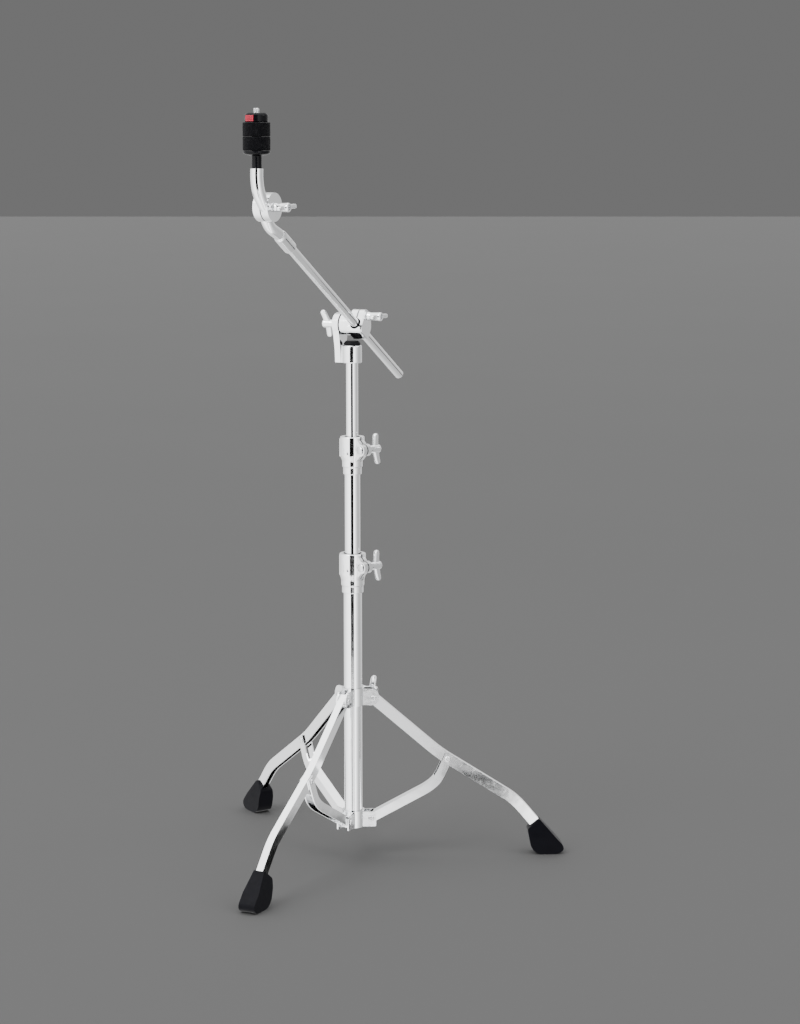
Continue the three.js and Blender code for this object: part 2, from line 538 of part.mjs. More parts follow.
const buttonPocket = block(6.6, 30, -6.3, 6.3, nutZ + 0.9, nutZ + 8.9);
const button = block(9, 30, -6, 6, nutZ + 1.2, nutZ + 8.6)
  .intersect(bar(NUT.r + 0.6, nutZ, nutZ + 10, ROUND));
const nutBody = cut(turned([
  [NUT.r - 1, nutZ], [NUT.r, nutZ + 1], [NUT.r, nutZ + NUT.height - 2.4], [NUT.r - 2.4, nutZ + NUT.height],
], ROUND), bar(SEAT.postR + GAP, 0, nutZ + 40),
...[0, 180].map((turn) => buttonPocket.rotate([0, 0, turn + NUT.buttonAzimuth])));
add(tilter, 'quick_nut', seatAt(nutBody), plastic);
['front', 'back'].forEach((word, i) => {
  const turn = NUT.buttonAzimuth + 180 * i;
  add(tilter, `${word}_release_button`, seatAt(button.rotate([0, 0, turn])), redPlastic);
});

// ---- the origin: on the floor, under the middle of the stand's box ----------------------------------
group.updateMatrixWorld(true);
const box = new THREE.Box3().setFromObject(group, true);
const centre = box.getCenter(new THREE.Vector3());
group.position.set(-centre.x, -centre.y, -box.min.z);

export default group;
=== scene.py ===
"""The chrome cymbal boom stand: its fine surfaces and finishes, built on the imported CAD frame.

Shapes are made in millimetres in the frame of their sub-assembly, then placed in metres.
"""
import json
import math

import bpy
import bmesh
from mathutils import Matrix, Vector


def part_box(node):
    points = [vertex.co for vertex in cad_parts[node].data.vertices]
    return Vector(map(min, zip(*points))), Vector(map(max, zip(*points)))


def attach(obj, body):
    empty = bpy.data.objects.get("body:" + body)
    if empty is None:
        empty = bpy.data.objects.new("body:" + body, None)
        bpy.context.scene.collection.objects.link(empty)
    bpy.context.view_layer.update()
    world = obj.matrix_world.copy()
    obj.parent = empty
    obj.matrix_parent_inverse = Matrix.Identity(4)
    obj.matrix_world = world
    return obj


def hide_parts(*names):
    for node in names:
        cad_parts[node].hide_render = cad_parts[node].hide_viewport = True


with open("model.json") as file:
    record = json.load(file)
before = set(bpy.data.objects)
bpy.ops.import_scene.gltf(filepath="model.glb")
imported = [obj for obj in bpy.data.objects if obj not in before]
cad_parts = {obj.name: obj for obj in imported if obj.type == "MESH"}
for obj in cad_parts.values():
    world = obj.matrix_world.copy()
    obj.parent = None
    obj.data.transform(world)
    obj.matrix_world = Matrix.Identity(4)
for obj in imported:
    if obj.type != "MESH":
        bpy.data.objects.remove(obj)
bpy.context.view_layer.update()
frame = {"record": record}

# ---- driving dimensions, in millimetres -------------------------------------------------------
MM = 0.001
GAP = 0.3
ROUND = 72
SMALL = 40

LEG_AZIMUTHS = (3, 123, 243)
BOOM_AZIMUTH = 242

BASE_TUBE = dict(r=12.7, wall=1.4, z0=47, z1=420)
MIDDLE_TUBE = dict(r=10.7, wall=1.2, z0=178, z1=586)
UPPER_TUBE = dict(r=8.3, wall=1.2, z0=320, z1=729)

LOWER_COLLAR = dict(z0=44, height=24, reach=32, gap=14.8, wall=2)
LEG_COLLAR = dict(z0=221, height=25, reach=37, gap=10.7, wall=2.4)
COLLAR_WALL = 3
COLLAR_EAR = dict(x=25.5, half=6, r=7, z=16.5, azimuth=74)

LEG_PIVOT = (28, 231)
STAY_PIVOT = (25, 56)
STAY_TO_LEG = (134, 141.3)
LEG = dict(depth=15, width=10, wall=1.6)
LEG_LINE = [(28, 231), (122.5, 149), (231, 80), (262, 43)]
STAY = dict(depth=12.6, width=14.2, wall=1.8, fork=30)
STAY_LINE = [(25, 56), (108, 100), (121, 112), (134, 141.3)]
PIN_R = 2.5
PIN_HEAD_R = 4.2
FOOT_WIDTH = 24.5

LOWER_CLAMP = dict(z0=383, height=56, bore=13, sleeve=15, shoulder=16.2, head=18.4)
UPPER_CLAMP = dict(z0=551, height=53, bore=11, sleeve=12.9, shoulder=14.2, head=17)
SLEEVE_TOP, SHOULDER_TOP, CONE_TOP, BOLT_BELOW_TOP = 10, 19, 26, 17.5
EAR = dict(r=8.4, half=7.5, out=6, azimuth=-45)
SLOT = 2

BOLT_R = 3
WING = dict(hub=6.2, length=21.6, span=21.5, thick=6, lobe=15.2, socket=3.1)

HINGE_Z = 760
BRACKET = dict(r=13.6, z0=707, height=24, face=-14, thick=9, ear=16)
BOOM_ANGLE = 32.3
ROD = dict(r=6.2, start=-138, end=246, side=14, drop=-6)
HOLDER = dict(disc=15, block=3.5, face=24.5, sleeve=7.8)
ROD_BOLT = (6, 10.5)
TILTER = dict(x=298, z=9, disc=18.6)
BACK_DISC = (ROD["side"] - 10.6, ROD["side"] - 0.4)
FRONT_DISC = (ROD["side"] + 1.2, ROD["side"] + 11.4)
SEAT = dict(x=24.5, arm_top=49, arm=8.2, post=4, cup_z=68, cup=17.4, sleeve=5.9)
FELT = dict(r=17.6, height=17.4)
NUT = dict(r=15, height=11.5, azimuth=-7)
FELT_Z = (SEAT["cup_z"] + 3.8, SEAT["cup_z"] + 4.1 + FELT["height"])
NUT_Z = FELT_Z[1] + FELT["height"] + GAP
POST_TOP = NUT_Z + NUT["height"] + 6
STUD_PAST = WING["length"] - 4


# ---- materials --------------------------------------------------------------------------------
class Nodes:
    """A node tree with short calls for making and joining nodes."""

    def __init__(self, tree):
        self.tree = tree

    def add(self, kind, **settings):
        node = self.tree.nodes.new(kind)
        inputs = settings.pop("inputs", {})
        for key, value in settings.items():
            setattr(node, key, value)
        for key, value in inputs.items():
            if isinstance(value, bpy.types.NodeSocket):
                self.tree.links.new(value, node.inputs[key])
            else:
                node.inputs[key].default_value = value
        return node

    def math(self, operation, a, b=0.0, c=0.0):
        return self.add("ShaderNodeMath", operation=operation, inputs={0: a, 1: b, 2: c}).outputs[0]

    def ramp(self, value, stops, interpolation="LINEAR"):
        node = self.add("ShaderNodeValToRGB", inputs={0: value})
        ramp = node.color_ramp
        ramp.interpolation = interpolation
        while len(ramp.elements) < len(stops):
            ramp.elements.new(1)
        for element, (place, level) in zip(ramp.elements, stops):
            element.position = place
            element.color = (*level, 1) if isinstance(level, tuple) else (level, level, level, 1)
        return node.outputs[0]

    def noise(self, scale, detail=3, roughness=0.5, vector=None):
        place = vector or self.add("ShaderNodeTexCoord").outputs["Object"]
        inputs = {"Vector": place, "Scale": scale, "Detail": detail, "Roughness": roughness}
        return self.add("ShaderNodeTexNoise", inputs=inputs).outputs["Fac"]

    def bump(self, height, strength, distance, normal=None):
        inputs = {"Height": height, "Strength": strength, "Distance": distance}
        if normal:
            inputs["Normal"] = normal
        return self.add("ShaderNodeBump", inputs=inputs).outputs["Normal"]


def material(name, build):
    """A Principled material; build(nodes) returns the shader's inputs."""
    made = bpy.data.materials.new(name)
    made.use_nodes = True
    made.node_tree.nodes.clear()
    nodes = Nodes(made.node_tree)
    shader = nodes.add("ShaderNodeBsdfPrincipled", inputs=build(nodes))
    output = nodes.add("ShaderNodeOutputMaterial")
    made.node_tree.links.new(shader.outputs[0], output.inputs["Surface"])
    return made


def polished(nodes):
    smudge = nodes.noise(38, 4, 0.6)
    scuff = nodes.noise(900, 2)
    tint = nodes.ramp(smudge, [(0.3, (0.80, 0.81, 0.82)), (0.75, (0.86, 0.865, 0.87))])
    rough = nodes.ramp(nodes.math("MULTIPLY_ADD", scuff, 0.2, smudge), [(0.4, 0.035), (0.85, 0.1)])
    ripple = nodes.bump(nodes.noise(60, 1), 0.06, 0.0004)
    return {"Base Color": tint, "Metallic": 1.0, "Roughness": rough, "Normal": ripple}


def cast(nodes):
    orange_peel = nodes.noise(420, 2)
    smudge = nodes.noise(70, 4, 0.6)
    tint = nodes.ramp(smudge, [(0.3, (0.75, 0.76, 0.77)), (0.75, (0.83, 0.835, 0.84))])
    rough = nodes.ramp(smudge, [(0.3, 0.07), (0.8, 0.17)])
    uneven = nodes.bump(nodes.noise(110, 1), 0.14, 0.0006)
    surface = nodes.bump(orange_peel, 0.06, 0.0002, uneven)
    return {"Base Color": tint, "Metallic": 1.0, "Roughness": rough, "Normal": surface}


def zinc(nodes):
    place = nodes.add("ShaderNodeTexCoord").outputs["Object"]
    fine = nodes.noise(1500, 2, 0.5, place)
    patch = nodes.noise(160, 3, 0.5, place)
    tint = nodes.ramp(patch, [(0.3, (0.58, 0.59, 0.6)), (0.75, (0.72, 0.725, 0.73))])
    rough = nodes.ramp(patch, [(0.3, 0.2), (0.8, 0.34)])
    return {"Base Color": tint, "Metallic": 1.0, "Roughness": rough, "Normal": nodes.bump(fine, 0.15, 0.0001)}


def moulded(dark, light, low, high, grain, coat=0.0):
    """Plastic or rubber with a fine moulded grain; the colour drifts from dark to light."""

    def build(nodes):
        tint = nodes.ramp(nodes.noise(90, 4, 0.6), [(0.3, dark), (0.75, light)])
        rough = nodes.ramp(nodes.noise(240, 3), [(0.3, low), (0.75, high)])
        surface = nodes.bump(nodes.noise(grain, 2), 0.25, 0.0002)
        return {"Base Color": tint, "Roughness": rough, "Normal": surface, "Coat Weight": coat,
                "Specular IOR Level": 0.06}

    return build


def pressed_wool(nodes):
    place = nodes.add("ShaderNodeTexCoord").outputs["Object"]
    fibre = nodes.noise(1900, 6, 0.75, place)
    clump = nodes.noise(330, 4, 0.65, place)
    mixed = nodes.math("MULTIPLY_ADD", fibre, 0.5, nodes.math("MULTIPLY", clump, 0.5))
    tint = nodes.ramp(mixed, [(0.36, (0.0015, 0.0015, 0.002)), (0.52, (0.004, 0.004, 0.005)),
                              (0.68, (0.016, 0.016, 0.017))])
    fuzz = nodes.bump(fibre, 0.9, 0.0005, nodes.bump(clump, 0.7, 0.001))
    return {"Base Color": tint, "Roughness": 0.95, "Normal": fuzz, "Sheen Weight": 0.03,
            "Sheen Roughness": 0.5, "Specular IOR Level": 0.05}


FINISHES = {
    "chrome": material("chrome", polished),
    "cast_chrome": material("cast_chrome", cast),
    "steel": material("steel", zinc),
    "nylon": material("nylon", moulded((0.003, 0.003, 0.0034), (0.007, 0.007, 0.008), 0.45, 0.6, 700)),
    "black_plastic": material(
        "black_plastic", moulded((0.0014, 0.0014, 0.0024), (0.003, 0.003, 0.0045), 0.3, 0.42, 900, 0.1)),
    "red_button": material(
        "red_button", moulded((0.42, 0.02, 0.045), (0.56, 0.045, 0.08), 0.28, 0.4, 900, 0.2)),
    "rubber": material(
        "rubber", moulded((0.001, 0.001, 0.0022), (0.0022, 0.0022, 0.004), 0.42, 0.56, 1100)),
    "felt": material("felt", pressed_wool),
}


# ---- solids -----------------------------------------------------------------------------------
class Solid:
    """A closed mesh that can be moved, joined to others and cut by them."""

    def __init__(self, mesh):
        self.mesh = mesh

    def moved(self, matrix):
        mesh = self.mesh.copy()
        mesh.transform(matrix)
        if matrix.determinant() < 0:
            mesh.flip_normals()
        return Solid(mesh)

    def shift(self, x=0, y=0, z=0):
        return self.moved(Matrix.Translation((x, y, z)))

    def turn(self, axis, degrees):
        return self.moved(Matrix.Rotation(math.radians(degrees), 4, axis))

    def boolean(self, operation, tools):
        base = link("work", self.mesh)
        made = [link("tool", tool.mesh) for tool in tools]
        for tool in made:
            step = base.modifiers.new("step", "BOOLEAN")
            step.operation = operation
            step.solver = "MANIFOLD"
            step.object = tool
        mesh = evaluated(base)
        for item in (base, *made):
            bpy.data.objects.remove(item)
        return Solid(mesh)

    def join(self, *others):
        return self.boolean("UNION", others)

    def cut(self, *tools):
        return self.boolean("DIFFERENCE", tools)

    def keep(self, other):
        return self.boolean("INTERSECT", [other])


def link(name, mesh):
    made = bpy.data.objects.new(name, mesh)
    bpy.context.scene.collection.objects.link(made)
    return made


def evaluated(thing):
    bpy.context.view_layer.update()
    return bpy.data.meshes.new_from_object(thing.evaluated_get(bpy.context.evaluated_depsgraph_get()))


def from_faces(points, faces):
    mesh = bpy.data.meshes.new("shape")
    mesh.from_pydata([tuple(p) for p in points], [], faces)
    work = bmesh.new()
    work.from_mesh(mesh)
    bmesh.ops.recalc_face_normals(work, faces=work.faces)
    work.to_mesh(mesh)
    work.free()
    return Solid(mesh)


def skin(rings, caps=True):
    """A closed surface through rings that all have the same number of points."""
    count = len(rings[0])
    faces = []
    pairs = len(rings) - 1 if caps else len(rings)
    for i in range(pairs):
        a, b = i * count, ((i + 1) % len(rings)) * count
        for k in range(count):
            n = (k + 1) % count
            faces.append((a + k, a + n, b + n, b + k))
    if caps:
        faces.append(tuple(range(count)))
        faces.append(tuple((len(rings) - 1) * count + k for k in range(count)))
    return from_faces([p for ring in rings for p in ring], faces)


def circle(r, z, facets):
    step = 2 * math.pi / facets
    return [(r * math.cos(k * step), r * math.sin(k * step), z) for k in range(facets)]


def turned(points, facets=ROUND):
    """A solid of revolution about Z, from (radius, z) points given from the bottom up."""
    return skin([circle(r, z, facets) for r, z in points])


def hollow(points, facets=ROUND):
    """A ring about Z whose section is the closed outline of (radius, z) points."""
    return skin([circle(r, z, facets) for r, z in points], caps=False)


def eased(points, reach, steps=4):
    """An open outline with each corner between its ends rounded over the given reach."""
    out = [points[0]]
    for a, b, c in zip(points, points[1:], points[2:]):
        a, b, c = Vector(a), Vector(b), Vector(c)
        start = b + (a - b).normalized() * min(reach, (a - b).length / 2.2)
        end = b + (c - b).normalized() * min(reach, (c - b).length / 2.2)
        for k in range(steps + 1):
            t = k / steps
            out.append(tuple(start * (1 - t) ** 2 + b * 2 * t * (1 - t) + end * t * t))
    out.append(points[-1])
    return out


def eased_loop(points, reach, steps=4):
    """A closed outline with every corner rounded over the given reach."""
    around = eased([points[-1], *points, points[0]], reach, steps)
    return around[1:-1]


def bar(r, z0, z1, facets=SMALL):
    return turned([(r, z0), (r, z1)], facets)


def cross_bar(r, y0, y1, x=0, z=0, facets=SMALL):
    return bar(r, -y1, -y0, facets).turn("X", 90).shift(x, 0, z)


def block(x0, x1, y0, y1, z0, z1):
    loop = [(x0, y0), (x1, y0), (x1, y1), (x0, y1)]
    return skin([[(x, y, z) for x, y in loop] for z in (z0, z1)])


def slab(outline, y0, y1):
    """An outline in X and Z, extruded along Y."""
    return skin([[(x, y, z) for x, z in outline] for y in (y0, y1)])


def band(line, up, down):
    """The outline of a band that follows a line of (x, z) points."""
    normals = []
    for i, here in enumerate(line):
        before = Vector(here) - Vector(line[i - 1]) if i else Vector(line[1]) - Vector(here)
        after = Vector(line[i + 1]) - Vector(here) if i < len(line) - 1 else before
        mean = (before.normalized() + after.normalized()).normalized()
        stretch = 1 / max(0.5, mean.dot(before.normalized()))
        normals.append((-mean.y * stretch, mean.x * stretch))
    low = [(x - n[0] * down, z - n[1] * down) for (x, z), n in zip(line, normals)]
    high = [(x + n[0] * up, z + n[1] * up) for (x, z), n in zip(line, normals)]
    return low + high[::-1]


def arc(x, z, r, start, end, steps):
    angles = [math.radians(start + (end - start) * k / steps) for k in range(steps + 1)]
    return [(x + r * math.cos(a), z + r * math.sin(a)) for a in angles]


def swept(points, r, steps=14, facets=32):
    """A round bar along a smooth curve through the points; r is one radius, or one for each point."""
    curve = smooth_curve(points, steps)
    radii = [r] * len(points) if isinstance(r, (int, float)) else r
    rings = []
    side = Vector((0, 1, 0))
    for i, here in enumerate(curve):
        ahead = curve[min(i + 1, len(curve) - 1)] - curve[max(i - 1, 0)]
        ahead.normalize()
        side = (side - ahead * side.dot(ahead)).normalized()
        up = ahead.cross(side)
        place = i / (len(curve) - 1) * (len(radii) - 1)
        low = min(int(place), len(radii) - 2)
        radius = radii[low] + (radii[low + 1] - radii[low]) * (place - low)
        rings.append([here + side * (radius * math.cos(a)) + up * (radius * math.sin(a))
                      for a in (2 * math.pi * k / facets for k in range(facets))])
    return skin(rings)


def smooth_curve(points, steps):
    """Points along a Catmull-Rom curve through the given ones."""
    knots = [Vector(p) for p in points]
    knots = [knots[0] * 2 - knots[1], *knots, knots[-1] * 2 - knots[-2]]
    out = []
    for a, b, c, d in zip(knots, knots[1:], knots[2:], knots[3:]):
        for k in range(steps):
            t = k / steps
            out.append(0.5 * (2 * b + (c - a) * t + (2 * a - 5 * b + 4 * c - d) * t * t
                              + (3 * b - a - 3 * c + d) * t ** 3))
    return [*out, knots[-2]]


# ---- places -----------------------------------------------------------------------------------
def turn_matrix(axis, degrees):
    return Matrix.Rotation(math.radians(degrees), 4, axis)


def at(x=0, y=0, z=0):
    return Matrix.Translation((x, y, z))


low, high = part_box("base_tube")
STAND = Matrix.Translation(((low.x + high.x) / 2, (low.y + high.y) / 2, 0)) @ Matrix.Scale(MM, 4)
BOOM_BASE = STAND @ at(z=HINGE_Z) @ turn_matrix("Z", BOOM_AZIMUTH)
BOOM = BOOM_BASE @ turn_matrix("Y", -BOOM_ANGLE)
TILT = BOOM @ at(TILTER["x"], 0, TILTER["z"]) @ turn_matrix("Y", BOOM_ANGLE)
SEAT_LINE = TILT @ at(SEAT["x"], ROD["side"], 0)

BODY_OF = {node: body for body, nodes in frame["record"]["behaviour"]["bodies"].items() for node in nodes}
SLOT_OF = {row["node"]: row["material_slot"] for row in frame["record"]["subparts"]}


def place(node, solid, matrix, edge=0.4, segments=3, smooth=32):
    """Finishes a solid, with its sharp edges rounded, as the piece that stands for a CAD node."""
    name = f"{node}.fine"
    mesh = solid.mesh.copy()
    mesh.transform(matrix)
    piece = link(name, mesh)
    if edge:
        bevel = piece.modifiers.new("edges", "BEVEL")
        bevel.width = edge * MM
        bevel.segments = segments
        bevel.limit_method = "ANGLE"
        bevel.angle_limit = math.radians(smooth)
        bevel.use_clamp_overlap = True
        bevel.harden_normals = False
        mesh = evaluated(piece)
        piece.modifiers.clear()
        piece.data = mesh
    mesh.name = name
    mesh.shade_smooth()
    mesh.set_sharp_from_angle(angle=math.radians(smooth))
    if edge:
        weighted = piece.modifiers.new("shading", "WEIGHTED_NORMAL")
        weighted.keep_sharp = True
        weighted.weight = 60
    mesh.materials.clear()
    mesh.materials.append(FINISHES[SLOT_OF[node]])
    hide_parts(node)
    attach(piece, BODY_OF[node])
    return piece


# ---- tubes ------------------------------------------------------------------------------------
def tube(r, wall, z0, z1):
    inner = r - wall
    lip = 0.5
    return hollow([(inner, z0), (r - lip, z0), (r, z0 + lip), (r, z1 - lip), (r - lip, z1), (inner, z1)], 128)


for node, size in (("base_tube", BASE_TUBE), ("middle_tube", MIDDLE_TUBE), ("upper_tube", UPPER_TUBE)):
    place(node, tube(**size), STAND, edge=0)

plug_inner = BASE_TUBE["r"] - BASE_TUBE["wall"] - GAP
plug = turned(eased([
    (0.5, BASE_TUBE["z0"] - 3), (BASE_TUBE["r"], BASE_TUBE["z0"] - 3), (BASE_TUBE["r"], BASE_TUBE["z0"] - GAP),
    (plug_inner, BASE_TUBE["z0"] - GAP), (plug_inner, BASE_TUBE["z0"] + 12),
], 1), ROUND)
place("base_tube_plug", plug, STAND, edge=0)


# ---- wing nuts and clamp bolts, along +Y, the nut's foot at y = 0 ---------------------------------
def wing_nut():
    length, hub_r, half = WING["length"], WING["hub"], WING["span"]
    hub = turned(eased([
        (hub_r - 1, 0), (hub_r, 0.9), (hub_r - 0.9, 5), (hub_r - 0.6, length - 8), (hub_r - 0.2, length - 1),
        (hub_r - 1.3, length),
    ], 1.6), SMALL).turn("X", -90)
    wings = []
    for side in (1, -1):
        sections = [
            (0, -5.2, 3.6, 3), (4, -5.0, 3.9, 3), (half - 11, -3.8, 4.5, 2.7), (half - 5, -2.7, 5.4, 2.8),
            (half - 2, -1.6, 5.3, 2.8), (half - 0.5, -0.2, 4.4, 2.1), (half, 1.2, 3, 1.1),
        ]
        rings = []
        for x, y0, y1, thick in sections:
            middle, deep = (y0 + y1) / 2, (y1 - y0) / 2
            rings.append([rounded_section(side * x, middle, deep, thick, a, 0.55) for a in range(0, 360, 12)])
        lobe = skin(rings)
        wings.append(lobe.shift(0, WING["lobe"], 0))
    whole = hub.join(*wings)
    bore = cross_bar(BOLT_R + GAP, -1, length - 7)
    socket = cross_bar(WING["socket"], length - 7.5, length + 1)
    return whole.cut(bore, socket)


def rounded_section(x, middle, deep, thick, degrees, power):
    """A point on a squarish oval section across X."""
    c, s = math.cos(math.radians(degrees)), math.sin(math.radians(degrees))
    y = middle + deep * math.copysign(abs(c) ** power, c)
    z = thick * math.copysign(abs(s) ** power, s)
    return (x, y, z)


def clamp_bolt(length, head=5.6, height=2):
    dome = [(head * math.sin(math.radians(a)), -height * math.cos(math.radians(a)) + 0.0)
            for a in (6, 25, 45, 65, 82)]
    shank = [(head, -0.35), (head, 0), (BOLT_R, 0), (BOLT_R, length - 0.6), (BOLT_R - 0.6, length)]
    return turned(dome + shank, SMALL).turn("X", -90)


WING_NUT = wing_nut()


# ---- height clamps ----------------------------------------------------------------------------
def height_clamp(size):
    head, height, bore = size["head"], size["height"], size["bore"]
    body = turned(eased([
        (size["sleeve"] - 0.6, 0), (size["sleeve"], 0.6), (size["sleeve"], SLEEVE_TOP),
        (size["shoulder"], SLEEVE_TOP + 0.9), (size["shoulder"], SHOULDER_TOP), (head, CONE_TOP),
        (head, height - 0.8), (head - 0.8, height),
    ], 1.1), 96)
    bolt_z, bolt_x = height - BOLT_BELOW_TOP, head + EAR["out"]
    half = EAR["half"]
    ears = cross_bar(EAR["r"], -half, half, bolt_x, bolt_z, 56)
    web = slab(eased([
        (bore + 1, bolt_z - 16), (head - 1.4, bolt_z - 15), (bolt_x - 1, bolt_z - 8.3), (bolt_x, bolt_z - 4),
        (bolt_x, bolt_z + 4), (bolt_x - 1, bolt_z + 8.3), (head - 1.2, bolt_z + 14), (bore + 1, bolt_z + 14),
    ], 3), -half + 1.2, half - 1.2)
    pad = slab(eased_loop([
        (-bore - 1, bolt_z - 6), (-head - 1.6, bolt_z - 5), (-head - 1.6, bolt_z + 7), (-bore - 1, bolt_z + 8),
    ], 2), -5, 5)
    rib = block(-head - 0.4, -bore - 1, -8, 8, CONE_TOP - 2, height - 4)
    seat = cross_bar(6.6, -half - 0.01, -half + 0.8, bolt_x, bolt_z, 40)
    dot = cross_bar(2, -head - 4, -head + 2.6).turn("Z", 25).shift(0, 0, bolt_z - 5)
    dashes = [block(-0.45, 0.45, -head - 1, -head + 0.9, bolt_z - 8 + k * 6, bolt_z - 4 + k * 6).turn("Z", 2)
              for k in (0, 1)]
    return body.join(ears, web, pad, rib).cut(
        bar(bore, -1, height + 1, ROUND),
        block(0, head + 20, -SLOT / 2, SLOT / 2, CONE_TOP - 4, height + 1),
        bar(1.6, -30, 30, 24).turn("Y", 90).shift(16, 0, CONE_TOP - 4).keep(block(0, 60, -9, 9, -60, 60)),
        cross_bar(BOLT_R + GAP, -20, 20, bolt_x, bolt_z),
        seat, dot, *dashes,
    )


def bushing(size, tube_r):
    outer, inner, top = size["bore"] - GAP, tube_r + GAP, size["height"] - 1
    foot = CONE_TOP + 12
    return hollow([(inner, foot), (outer, foot), (outer, top - 0.4), (outer - 0.4, top), (inner + 0.4, top),
                   (inner, top - 0.4)], ROUND)


for stage, size, tube_r in (("lower", LOWER_CLAMP, MIDDLE_TUBE["r"]), ("upper", UPPER_CLAMP, UPPER_TUBE["r"])):
    base = STAND @ at(z=size["z0"]) @ turn_matrix("Z", EAR["azimuth"])
    place(f"{stage}_clamp", height_clamp(size), base, edge=0.7)
    place(f"{stage}_bushing", bushing(size, tube_r), base, edge=0)
    line = base @ at(size["head"] + EAR["out"], 0, size["height"] - BOLT_BELOW_TOP)
    bolt = clamp_bolt(EAR["half"] * 2 + STUD_PAST)
    place(f"{stage}_clamp_bolt", bolt, line @ at(y=-EAR["half"] - GAP), edge=0)
    place(f"{stage}_wing_nut", WING_NUT, line @ at(y=EAR["half"] + GAP) @ turn_matrix("Y", 84), edge=0.5)


# ---- leg collar and lower collar ----------------------------------------------------------------
def lugged_ring(size, lug, pivot_r, pivot_z):
    bore = BASE_TUBE["r"] + GAP
    half = size["gap"] / 2 + size["wall"]
    lugs = []
    for azimuth in LEG_AZIMUTHS:
        pair = slab(lug, -half, half).cut(
            block(bore + COLLAR_WALL - 0.6, 60, -size["gap"] / 2, size["gap"] / 2, -size["height"], 2 * size["height"]),
            cross_bar(PIN_R + GAP, -half - 1, half + 1, pivot_r, pivot_z),
        )
        lugs.append(pair.turn("Z", azimuth))
    ring = bar(bore + COLLAR_WALL, 0, size["height"], 96)
    return ring.join(*lugs)


def leg_collar():
    lug = eased_loop([
        (12.7, 1), (26, 0), (33, 2.2), (36.2, 7), (37, 12), (34.6, 18.6), (30, 23.4), (12.7, 24),
    ], 2.5, 3)
    ring = lugged_ring(LEG_COLLAR, lug, LEG_PIVOT[0], LEG_PIVOT[1] - LEG_COLLAR["z0"])
    x, z, half = COLLAR_EAR["x"], COLLAR_EAR["z"], COLLAR_EAR["half"]
    ear = cross_bar(COLLAR_EAR["r"], -half, half, x, z, 48)
    web = block(13.7, x, -half, half, 2, LEG_COLLAR["height"] - 1.5)
    tools = [block(0, 40, -SLOT / 2, SLOT / 2, -1, 26), cross_bar(BOLT_R + GAP, -20, 20, x, z)]
    azimuth = COLLAR_EAR["azimuth"]
    whole = ring.join(ear.turn("Z", azimuth), web.turn("Z", azimuth))
    return whole.cut(bar(BASE_TUBE["r"] + GAP, -1, 40, ROUND), *[tool.turn("Z", azimuth) for tool in tools])


def lower_collar():
    lug = eased_loop([(12.7, 0.6), (32, 0.6), (32, 20), (30, 22), (12.7, 22)], 1.6, 3)
    ring = lugged_ring(LOWER_COLLAR, lug, STAY_PIVOT[0], STAY_PIVOT[1] - LOWER_COLLAR["z0"])
    return ring.cut(bar(BASE_TUBE["r"] + GAP, -1, 40, ROUND))


place("leg_collar", leg_collar(), STAND @ at(z=LEG_COLLAR["z0"]), edge=0.55)
place("lower_collar", lower_collar(), STAND @ at(z=LOWER_COLLAR["z0"]), edge=0.45)
collar_line = STAND @ at(z=LEG_COLLAR["z0"] + COLLAR_EAR["z"]) @ turn_matrix("Z", COLLAR_EAR["azimuth"] + 180)
collar_end = COLLAR_EAR["half"] + GAP
place("leg_collar_bolt", clamp_bolt(COLLAR_EAR["half"] * 2 + STUD_PAST, 5.2),
      collar_line @ at(-COLLAR_EAR["x"], -collar_end), edge=0)
place("leg_collar_wing_nut", WING_NUT,
      collar_line @ at(-COLLAR_EAR["x"], collar_end) @ turn_matrix("Y", 90), edge=0.5)


# ---- legs, stays and feet -----------------------------------------------------------------------
def channel(line, depth, width, wall):
    """A folded sheet channel, open on its upper side."""
    shell = slab(band(line, depth / 2, depth / 2), -width / 2, width / 2)
    space = slab(band(line, depth / 2 - wall, depth), -width / 2 + wall, width / 2 - wall)
    return shell.cut(space)


def extended(line, reach):
    start, after = Vector(line[0]), Vector(line[1])
    return [tuple(start - (after - start).normalized() * reach), *line[1:]]


def leg():
    line = extended(eased(LEG_LINE, 16, 8), 6.5)
    return channel(line, LEG["depth"], LEG["width"], LEG["wall"]).cut(
        cross_bar(PIN_R + GAP, -20, 20, *LEG_PIVOT))


def stay():
    line = extended(eased(STAY_LINE, 12, 8), 5.5)
    a, b = Vector(STAY_LINE[-2]), Vector(STAY_LINE[-1])
    line[-1] = tuple(b + (b - a).normalized() * 6)
    angle = math.degrees(math.atan2(b.y - a.y, b.x - a.x))
    half = LEG["width"] / 2 + GAP
    fork = block(-STAY["fork"], 20, -half, half, -20, 20).turn("Y", -angle).shift(b.x, 0, b.y)
    return channel(line, STAY["depth"], STAY["width"], STAY["wall"]).cut(
        fork, cross_bar(PIN_R + GAP, -20, 20, *STAY_PIVOT))


def foot():
    outline = eased_loop([
        (249, 37), (266, 51.5), (300, 13), (301.5, 7), (296, 1.6), (288, 0), (268, 0), (259, 4), (254, 12),
        (251.5, 24),
    ], 3.2, 4)
    body = slab(outline, -FOOT_WIDTH / 2, FOOT_WIDTH / 2)
    sides = []
    for side in (-1, 1):
        plane = block(-60, 60, 0, 30, -60, 60).turn("X", 10)
        sides.append(plane.moved(Matrix.Scale(side, 4, (0, 1, 0))).shift(266, side * (FOOT_WIDTH / 2 - 4.5), 51.5))
    deep, wide = LEG["depth"] / 2 + GAP, LEG["width"] / 2 + GAP
    socket = slab(band(eased(LEG_LINE, 16, 8), deep, deep), -wide, wide)
    return body.cut(*sides, socket)


